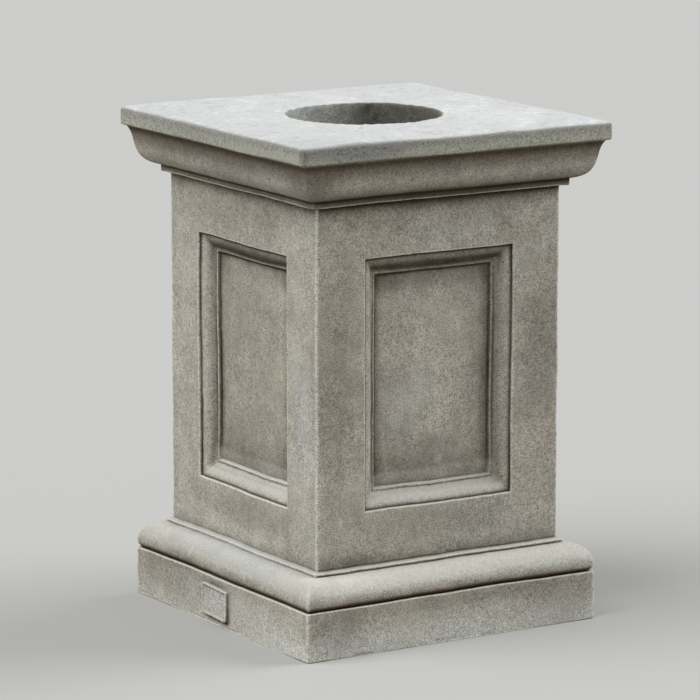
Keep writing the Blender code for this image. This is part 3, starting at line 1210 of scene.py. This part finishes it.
@dataclass(frozen=True)
class CastStoneFinish:
    """Weathered cast stone: fine sandy grain, soft blotches, pale arrises and dirty quirks, with painted
    highlights on the arrises and ledges and painted shade in the quirks and under the ledges.
    """

    outline: Outline
    warm: tuple = tint(179, 172, 158)
    cool: tuple = tint(177, 172, 161)
    umber: tuple = tint(150, 142, 126)
    # tones of the washed top, partly painted light
    pale: tuple = tint(190, 191, 190)
    chalk: tuple = tint(220, 221, 219)
    # painted cool light for the lit -X side
    cool_light: tuple = tint(198, 202, 206)
    # the tablet's own tint, and painted light on the ledges and the low beads
    cream: tuple = tint(206, 204, 195)
    # pale arrises, worn and painted as highlights, and some pale spots
    bone: tuple = tint(214, 210, 199)
    # dark brown: dirt in pits, spots and splashes, and painted shade in recesses and under ledges
    soot_and_shade: tuple = tint(66, 51, 31)
    # near black: dirt in the quirks, and painted shadow lines at the cap fillet
    pitch: tuple = tint(30, 25, 18)
    lichen: tuple = tint(167, 168, 153)
    slate: tuple = tint(134, 132, 130)
    # pale foot: splash, and painted light from the ground
    splash_and_bounce: tuple = tint(201, 200, 192)
    # the hole's wall, in painted shade and painted light
    wall_shaded: tuple = tint(108, 105, 97)
    wall_lit: tuple = tint(198, 199, 193)
    sill: float = 0.1716
    tablet_spot: tuple[Triple, Triple] = ((-0.204, 0.0098, 0.029), (0.04, 0.060, 0.050))

    @property
    def blots(self) -> tuple[Blot, ...]:
        """The darker and paler spots that stand out, by their places."""
        return (
            # painted shade: the band just under the cap on the -Y side
            Blot((0.00, -0.180, 0.533), (0.19, 0.04, 0.018), 0.50, self.soot_and_shade),
            Blot((0.145, -0.172, 0.33), (0.06, 0.03, 0.13), 0.32, self.soot_and_shade),
            Blot((-0.145, -0.172, 0.33), (0.05, 0.03, 0.17), 0.25, self.soot_and_shade),
            Blot((0.00, -0.153, 0.34), (0.07, 0.03, 0.13), 0.22, self.bone),
            Blot((0.080, -0.153, 0.33), (0.04, 0.03, 0.16), 0.16, self.soot_and_shade),
            Blot((-0.160, 0.02, 0.33), (0.05, 0.13, 0.25), 0.20, self.soot_and_shade),
            # dirt and painted shade on the -X side of the cyma
            Blot((-0.200, 0.00, 0.568), (0.05, 0.25, 0.025), 0.20, self.soot_and_shade),
            Blot((-0.200, -0.200, 0.612), (0.08, 0.08, 0.014), 0.16, self.slate),
            Blot((0.130, -0.100, 0.612), (0.11, 0.11, 0.014), 0.22, self.chalk),
            Blot((-0.216, 0.05, 0.597), (0.02, 0.20, 0.012), 0.30, self.slate),
            Blot((-0.214, -0.214, 0.598), (0.009, 0.009, 0.014), 0.55, self.soot_and_shade),
            Blot((-0.190, -0.190, 0.562), (0.045, 0.045, 0.030), 0.40, self.soot_and_shade),
            Blot((-0.172, 0.00, 0.142), (0.03, 0.17, 0.030), 0.22, self.soot_and_shade),
            Blot((-0.172, 0.00, 0.112), (0.03, 0.16, 0.014), 0.24, self.bone),
            Blot((-0.165, 0.097, 0.33), (0.02, 0.014, 0.17), 0.34, self.bone),
            Blot((0.097, -0.165, 0.33), (0.014, 0.02, 0.17), 0.22, self.bone),
            Blot((-0.207, 0.0098, 0.029), (0.006, 0.030, 0.022), 0.34, self.cream),
            Blot((-0.165, -0.204, 0.036), (0.07, 0.02, 0.045), 0.28, self.soot_and_shade),
            Blot((-0.150, -0.216, 0.600), (0.13, 0.012, 0.0170), 0.85, self.slate),
            # painted cool light on the lit -X side, here and in the next two spots
            Blot((-0.204, -0.02, 0.036), (0.02, 0.17, 0.026), 0.22, self.cool_light),
            Blot((-0.190, 0.00, 0.095), (0.035, 0.22, 0.022), 0.34, self.cool_light),
            Blot((-0.172, -0.138, 0.26), (0.02, 0.035, 0.15), 0.22, self.cool_light),
            Blot((0.130, -0.172, 0.500), (0.05, 0.02, 0.022), 0.24, self.bone),
            Blot((-0.172, 0.00, 0.500), (0.02, 0.16, 0.030), 0.16, self.soot_and_shade),
            Blot((0.00, -0.172, 0.142), (0.16, 0.03, 0.026), 0.14, self.soot_and_shade),
            Blot((-0.203, 0.00, 0.076), (0.04, 0.36, 0.022), 0.16, self.soot_and_shade),
            Blot((-0.204, 0.13, 0.040), (0.03, 0.14, 0.04), 0.26, self.soot_and_shade),
            Blot((-0.204, 0.00, 0.056), (0.03, 0.30, 0.018), 0.14, self.soot_and_shade),
            Blot((0.00, -0.204, 0.056), (0.30, 0.03, 0.022), 0.22, self.soot_and_shade),
            Blot((0.15, -0.204, 0.035), (0.10, 0.03, 0.05), 0.18, self.soot_and_shade),
        )

    def build(self) -> bpy.types.Material:
        """Make the material.

        Returns:
            The finished material.
        """
        material = bpy.data.materials.new("cast_stone_weathered_and_shaded")
        coat = Coat(material, self.outline, self.sill)
        grain = coat.noise(coat.place, 0.0016, 2.0, 0.6)
        grit = coat.noise(coat.place, 0.0060, 3.0, 0.6)
        pits = self.pits(coat)
        level = coat.band(coat.upward, 0.0, 0.60)
        layers = (
            self.stone, self.wash_and_skylight, self.growth, self.hole_wall, self.shelter, self.cap_lines,
            self.panel_dirt_and_shade, self.fine_dirt_and_shade, self.spots, self.rubbing_and_highlight,
        )
        for layer in layers:
            layer(coat)
        speckle = coat.between(coat.band(grain, 0.30, 0.70), -0.37, 0.37)
        speckle = coat.math("ADD", speckle, coat.between(coat.band(grit, 0.28, 0.72), -0.12, 0.12))
        speckle = coat.product(speckle, coat.between(level, 1.0, 0.35))
        coat.colour = coat.scale(coat.colour, coat.math("ADD", 1.0, speckle))
        coat.lay(self.soot_and_shade, pits, coat.between(level, 0.8, 0.25))
        relief = coat.math("SUBTRACT", coat.math("ADD", grain, coat.product(grit, 0.8)), pits)
        bump = coat.add("ShaderNodeBump", {"Strength": 0.24, "Distance": 0.0007, "Height": relief})
        matt = coat.between(grain, 0.86, 1.0)
        ends = {"Base Color": coat.colour, "Normal": bump.outputs[0], "Roughness": matt}
        for name, socket in ends.items():
            coat.tree.links.new(socket, coat.shader.inputs[name])
        coat.shader.inputs["Specular IOR Level"].default_value = 0.2
        return material

    def stone(self, coat: Coat) -> None:
        """Start from the clean stone, with its blotches and faint upright streaks.

        Args:
            coat: The coat that is laid on.
        """
        broad = coat.noise(coat.place, 0.14, 3.0, 0.5)
        coat.colour = coat.blend(coat.band(broad, 0.36, 0.64), self.warm, self.cool)
        coat.lay(self.umber, coat.band(coat.clouds, 0.50, 0.72), 0.35)
        streaks = coat.drawn_out(0.22, 0.014, 4.0)
        blotch = coat.noise(coat.place, 0.030, 3.0, 0.5)
        shade = coat.between(coat.band(streaks, 0.25, 0.75), 0.95, 1.05)
        shade = coat.product(shade, coat.between(coat.band(blotch, 0.30, 0.70), 0.91, 1.09))
        coat.colour = coat.scale(coat.colour, shade)

    def wash_and_skylight(self, coat: Coat) -> None:
        """Bleach the ledges and scuff the washed top; the pale on the ledges is partly painted light, laid
        where most sky reaches, and so is the pale of the top.

        Args:
            coat: The coat that is laid on.
        """
        # paler on upward ledges where more sky reaches: bleaching, and painted light
        coat.lay(self.cream, coat.ledges, coat.band(coat.exposure, 0.25, 0.60))
        # the top laid pale, partly as painted light, with scuffs and grey marks
        marks = coat.product(coat.band(coat.worn, 0.48, 0.68), coat.band(coat.clouds, 0.36, 0.60), 0.34)
        scuffed = coat.blend(marks, self.pale, self.slate)
        scuffs = coat.product(coat.band(coat.clouds, 0.50, 0.40), coat.band(coat.worn, 0.50, 0.62), 0.55)
        coat.lay(coat.blend(scuffs, scuffed, self.chalk), coat.top_face)

    def growth(self, coat: Coat) -> None:
        """Green and grey the slab's edge, and pale the plinth's foot, most on one side, as splash and as
        painted light thrown up from the ground.

        Args:
            coat: The coat that is laid on.
        """
        edge = coat.product(coat.on_slab, coat.inverse(coat.top_face))
        coat.lay(self.lichen, edge, coat.between(coat.band(coat.worn, 0.30, 0.66), 0.6, 0.95))
        ragged = coat.math("ADD", coat.height, coat.product(coat.worn, 0.006))
        top = self.outline.height
        coat.lay(self.slate, edge, coat.band(ragged, top - 0.012, top - 0.003), 0.55)
        # the foot paler near the ground, most on the -Y side: splash, and painted light
        foot = coat.math("SUBTRACT", coat.height, coat.product(coat.clouds, 0.030))
        share = coat.between(coat.band(coat.y, 0.02, -0.19), 0.3, 1.0)
        coat.lay(self.splash_and_bounce, coat.band(foot, 0.030, -0.004), share)

    def hole_wall(self, coat: Coat) -> None:
        """Grey the hole's wall, painted lit on one side and shaded on the other, and streaked upright.

        Args:
            coat: The coat that is laid on.
        """
        # painted light on one part of the wall, painted shade on the other
        left = coat.band(coat.across, -0.02, -0.09)
        wall = coat.blend(left, self.wall_shaded, self.wall_lit)
        streaks = coat.drawn_out(0.15, 0.016, 3.0)
        paler = coat.product(coat.band(streaks, 0.44, 0.66), coat.between(left, 0.05, 0.6))
        coat.lay(coat.blend(paler, wall, self.pale), coat.inverse(coat.outside))

    def shelter(self, coat: Coat) -> None:
        """Darken what the sky and rain hardly reach, under the slab and under the roll, as dirt and as
        painted shade.

        Args:
            coat: The coat that is laid on.
        """
        slab_foot = self.outline.slab_foot
        # painted shade, with some dirt, where little sky reaches
        sheltered_share = coat.product(coat.between(coat.band(coat.clouds, 0.35, 0.65), 0.84, 0.97), coat.outside)
        sheltered_share = coat.product(sheltered_share, coat.between(coat.side, 0.78, 1.0))
        sheltered_share = coat.product(sheltered_share, coat.between(coat.on_cyma, 1.0, 0.5))
        coat.lay(self.soot_and_shade, coat.band(coat.exposure, 0.31, 0.05), sheltered_share)
        # a band of painted shade just under the slab
        below = coat.product(coat.band(coat.height, slab_foot - 0.034, slab_foot - 0.010), 0.58)
        close = coat.product(coat.band(coat.height, slab_foot - 0.0135, slab_foot - 0.002), 0.34)
        coat.lay(self.soot_and_shade, coat.math("ADD", below, close), coat.inverse(coat.on_slab), coat.outside)

    def cap_lines(self, coat: Coat) -> None:
        """Paint the shadow lines above and below the cap fillet, and the shade under the roll.

        Args:
            coat: The coat that is laid on.
        """
        cyma_foot = self.outline.slab_foot - self.outline.cyma_height
        head = self.outline.dado_top
        # painted shadow lines in the quirk where the cyma meets the cap fillet
        gap = coat.math("ABSOLUTE", coat.math("SUBTRACT", coat.height, cyma_foot + 0.0008))
        fine = coat.product(coat.band(gap, 0.0058, 0.0), coat.between(coat.side, 0.62, 0.0))
        broad = coat.product(coat.band(gap, 0.0085, 0.0), coat.between(coat.side, 0.0, 0.66))
        coat.lay(self.soot_and_shade, coat.math("ADD", fine, broad))
        coat.lay(self.pitch, coat.band(gap, 0.0026, 0.0), 0.72)
        # painted shadow under the cap fillet's lip
        lip = coat.window(coat.height, (head - 0.0050, head - 0.0005), (head, head + 0.0006))
        coat.lay(self.soot_and_shade, lip, coat.between(coat.side, 0.4, 0.8))
        lip = coat.window(coat.height, (head - 0.0062, head - 0.0016), (head, head + 0.0006))
        coat.lay(self.pitch, lip, coat.between(coat.side, 0.28, 0.80))
        # painted shade on the roll's underside
        coat.lay(self.soot_and_shade, coat.band(coat.upward, 0.0, -0.7), coat.band(coat.height, 0.076, 0.070), 0.55)

    def panel_dirt_and_shade(self, coat: Coat) -> None:
        """Lay the panels' broad dirt and painted shade: dirt above the sill, dirt and painted shade round
        the field, painted shade on the ogee.

        Args:
            coat: The coat that is laid on.
        """
        splash = coat.product(coat.band(coat.mask(Mask.LEDGE), 0.05, 1.0), 0.50)
        coat.lay(self.soot_and_shade, splash, coat.band(coat.clouds, 0.20, 0.60))
        # dark halo round the field's edge: dirt, and painted shade in the recess
        halo = coat.product(coat.band(coat.cavity, 0.01, 0.18), coat.in_field)
        halo = coat.product(halo, coat.between(coat.worn, 0.80, 1.0), 0.96)
        shelf = coat.band(coat.height, self.sill + 0.075, self.sill + 0.040)
        shelf = coat.product(shelf, coat.between(coat.side, 0.45, 0.0))
        gentle = coat.product(coat.band(coat.x, 0.03, 0.07), coat.side, 0.20)
        level = coat.between(coat.band(coat.upward, 0.25, 0.55), 1.0, 0.15)
        coat.lay(self.soot_and_shade, halo, coat.inverse(shelf), coat.inverse(gentle), level)
        # faint painted shade over the field wherever it is walled in
        coat.lay(self.soot_and_shade, coat.band(coat.cavity, 0.0, 0.06), coat.in_field, 0.10)
        # painted shade on the inner ogee, more on faces turned down, less on the lit sides
        inner = coat.product(coat.window(coat.depth, (0.0085, 0.0148), (0.0160, 0.0178)), coat.in_shaft)
        inner = coat.product(inner, coat.between(coat.band(coat.upward, 0.3, -0.6), 0.22, 0.74))
        bright = coat.product(coat.side, coat.band(coat.x, -0.06, -0.08))
        bright = coat.math("MAXIMUM", bright, coat.product(coat.band(coat.x, 0.07, 0.09), coat.side, 0.75))
        coat.lay(self.soot_and_shade, inner, coat.between(bright, 1.0, 0.25))
        # painted shade on the moulding's faces turned down
        soffit = coat.product(coat.window(coat.depth, (0.0030, 0.0050), (0.0090, 0.0120)), coat.in_shaft)
        coat.lay(self.soot_and_shade, soffit, coat.band(coat.upward, -0.10, -0.35), 0.26)

    def fine_dirt_and_shade(self, coat: Coat) -> None:
        """Lay the dirt and painted shade in the quirks and recesses, least on washed ledges, on the sills
        and inside the hole, and a painted highlight on the low beads.

        Args:
            coat: The coat that is laid on.
        """
        foot = self.outline.dado_foot
        calm = coat.product(coat.bead, coat.between(coat.low, 0.45, 1.0))
        # painted shade on the bead of the top member, which faces down
        coat.lay(self.soot_and_shade, coat.bead, coat.band(coat.height, self.sill + 0.276, self.sill + 0.281), 0.40)
        # painted shade, with some dirt, where the surface is walled in close by
        walled = coat.product(coat.band(coat.cavity, 0.03, 0.30), coat.between(coat.worn, 0.60, 1.0))
        walled = coat.product(walled, coat.inverse(coat.ledges), coat.outside)
        walled = coat.product(walled, coat.between(coat.on_cyma, 0.8, 0.3))
        walled = coat.product(walled, coat.between(coat.side, 0.6, 1.0))
        coat.lay(self.soot_and_shade, walled, coat.inverse(coat.in_field), coat.between(calm, 1.0, 0.15))
        # the quirks' dirt and painted shade
        uneven = coat.between(coat.band(coat.worn, 0.2, 0.6), 0.80, 1.0)
        dirt = coat.product(coat.mask(Mask.CREVICE), uneven)
        mild = coat.between(coat.spot(*self.tablet_spot), 0.97, 0.40)
        dirt = coat.product(dirt, mild, coat.between(coat.ledges, 1.0, 0.75), coat.between(calm, 1.0, 0.16))
        base = coat.window(coat.height, (foot - 0.016, foot - 0.010), (foot, foot + 0.004))
        base = coat.product(base, coat.between(coat.side, 1.0, 0.0))
        coat.lay(self.pitch, dirt, coat.between(base, 1.0, 0.50))
        # painted highlight on the low beads
        coat.lay(self.cream, coat.bead, coat.low, coat.band(coat.upward, -0.2, 0.2), 0.45)

    def spots(self, coat: Coat) -> None:
        """Lay the spots of dirt, wear, painted light and painted shade at their places."""
        for blot in self.blots:
            coat.lay(blot.colour, coat.spot(blot.centre, blot.reach), blot.strength)

    def rubbing_and_highlight(self, coat: Coat) -> None:
        """Pale the arrises, as wear and as a painted highlight, but hardly the cap's upright corners and
        the panels' beads.

        Args:
            coat: The coat that is laid on.
        """
        # pale arrises: wear, and a painted highlight where sky reaches, weaker on faces turned down
        rubbed_and_highlit = coat.product(coat.mask(Mask.RUBBED_AND_HIGHLIT), coat.band(coat.worn, 0.15, 0.50), 0.90)
        rubbed_and_highlit = coat.product(rubbed_and_highlit, coat.band(coat.exposure, 0.0, 0.22))
        rubbed_and_highlit = coat.product(rubbed_and_highlit, coat.band(coat.cavity, 0.75, 0.35))
        hidden = coat.math("MAXIMUM", coat.band(coat.upward, -0.05, -0.35), coat.product(coat.side, 0.55))
        rubbed_and_highlit = coat.product(rubbed_and_highlit, coat.between(coat.product(coat.bead, hidden), 1.0, 0.1))
        half = self.outline.dado_half
        upright = coat.product(coat.band(coat.least, half - 0.006, half - 0.001), coat.over_shaft)
        rubbed_and_highlit = coat.product(rubbed_and_highlit, coat.between(coat.on_cyma, 1.0, 0.12))
        rubbed_and_highlit = coat.product(rubbed_and_highlit, coat.between(upright, 1.0, 0.12))
        edge = coat.product(coat.side, coat.over_shaft)
        coat.lay(self.bone, rubbed_and_highlit, coat.between(edge, 1.0, 0.62))

    @staticmethod
    def pits(coat: Coat) -> bpy.types.NodeSocket:
        """Give a mask of small round air holes, scattered unevenly.

        Args:
            coat: The coat whose places it goes by.

        Returns:
            The mask.
        """
        cells = coat.add("ShaderNodeTexVoronoi", {"Vector": coat.place, "Scale": 1.0 / 0.0048})
        few = coat.math("GREATER_THAN", cells.outputs["Color"], 0.85)
        return coat.product(coat.band(cells.outputs["Distance"], 0.30, 0.12), few)


@dataclass(frozen=True)
class Studio:
    """The camera at the photograph's angle, the pale floor and the soft light."""

    lens: float = 223.25
    place: Triple = (-2.7522, -4.3935, 1.3192)
    yaw: float = math.radians(31.890)
    pitch: float = math.radians(10.916)
    floor_size: float = 60.0
    floor_tint: tuple = tint(176, 175, 172)
    sky_tint: tuple = tint(254, 254, 254)
    sky_strength: float = 0.56

    def build(self) -> None:
        """Set up the camera, floor and lights."""
        self.camera()
        self.floor()
        self.sky()
        self.lamp("left_softbox", (-0.55, 0.10, 0.83), 46.0, 2.27)
        self.lamp("right_softbox", (0.75, -0.20, 0.63), 40.0, 1.87)

    def camera(self) -> None:
        """Put the camera where the photograph was taken from."""
        data = bpy.data.cameras.new("camera")
        data.lens = self.lens
        data.sensor_width = 36.0
        data.clip_end = 200.0
        camera = bpy.data.objects.new("camera", data)
        camera.location = self.place
        camera.rotation_euler = (math.pi / 2 - self.pitch, 0.0, -self.yaw)
        bpy.context.scene.collection.objects.link(camera)
        bpy.context.scene.camera = camera

    def floor(self) -> None:
        """Lay the plain pale floor."""
        bpy.ops.mesh.primitive_plane_add(size=self.floor_size, location=(0.0, 0.0, 0.0))
        floor = bpy.context.active_object
        floor.name = "floor"
        material = bpy.data.materials.new("floor")
        material.use_nodes = True
        shader = material.node_tree.nodes["Principled BSDF"]
        shader.inputs["Base Color"].default_value = self.floor_tint
        shader.inputs["Roughness"].default_value = 0.9
        floor.data.materials.append(material)

    def sky(self) -> None:
        """Fill the surroundings with soft light, three times as strong overhead as at the horizon."""
        world = bpy.data.worlds.new("sky")
        world.use_nodes = True
        tree = world.node_tree
        background = tree.nodes["Background"]
        background.inputs["Color"].default_value = self.sky_tint
        direction = tree.nodes.new("ShaderNodeTexCoord").outputs["Generated"]
        split = tree.nodes.new("ShaderNodeSeparateXYZ")
        tree.links.new(direction, split.inputs[0])
        glow = tree.nodes.new("ShaderNodeMapRange")
        glow.inputs["To Min"].default_value = self.sky_strength / 3
        glow.inputs["To Max"].default_value = self.sky_strength
        tree.links.new(split.outputs["Z"], glow.inputs["Value"])
        tree.links.new(glow.outputs[0], background.inputs["Strength"])
        bpy.context.scene.world = world
        bpy.context.scene.view_settings.view_transform = "Standard"

    @staticmethod
    def lamp(name: str, toward: Triple, spread: float, strength: float) -> None:
        """Hang one broad soft lamp, far off.

        Args:
            name: The lamp's name.
            toward: The direction from the pedestal to the lamp.
            spread: How wide the lamp looks from the pedestal, in degrees.
            strength: Its light on a surface that faces it, in watts per square metre.
        """
        data = bpy.data.lights.new(name, "SUN")
        data.angle = math.radians(spread)
        data.energy = strength
        data.color = (0.96, 0.985, 1.0)
        lamp = bpy.data.objects.new(name, data)
        lamp.location = [3.5 * axis for axis in toward]
        lamp.rotation_euler = Vector(toward).to_track_quat("Z", "Y").to_euler()
        bpy.context.scene.collection.objects.link(lamp)


def main() -> None:
    """Build the casting, dress it, and set the scene round it."""
    logging.basicConfig(level=logging.INFO, format="%(name)s: %(message)s")
    low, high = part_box(NODE)
    outline = Outline(height=high.z, cap_half=high.x)
    casting = Casting(outline, PanelMoulding(), Hollow(), Tablet(outline.plinth_half))
    piece = casting.build()
    WeatheringAndShade(outline.dado_half).apply(piece)
    finish = CastStoneFinish(outline)
    piece.data.materials.clear()
    piece.data.materials.append(finish.build())
    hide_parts(NODE)
    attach(piece, BODY)
    LOG.info("%s: %d faces", piece.name, len(piece.data.polygons))
    Studio().build()


if __name__ == "__main__":
    main()
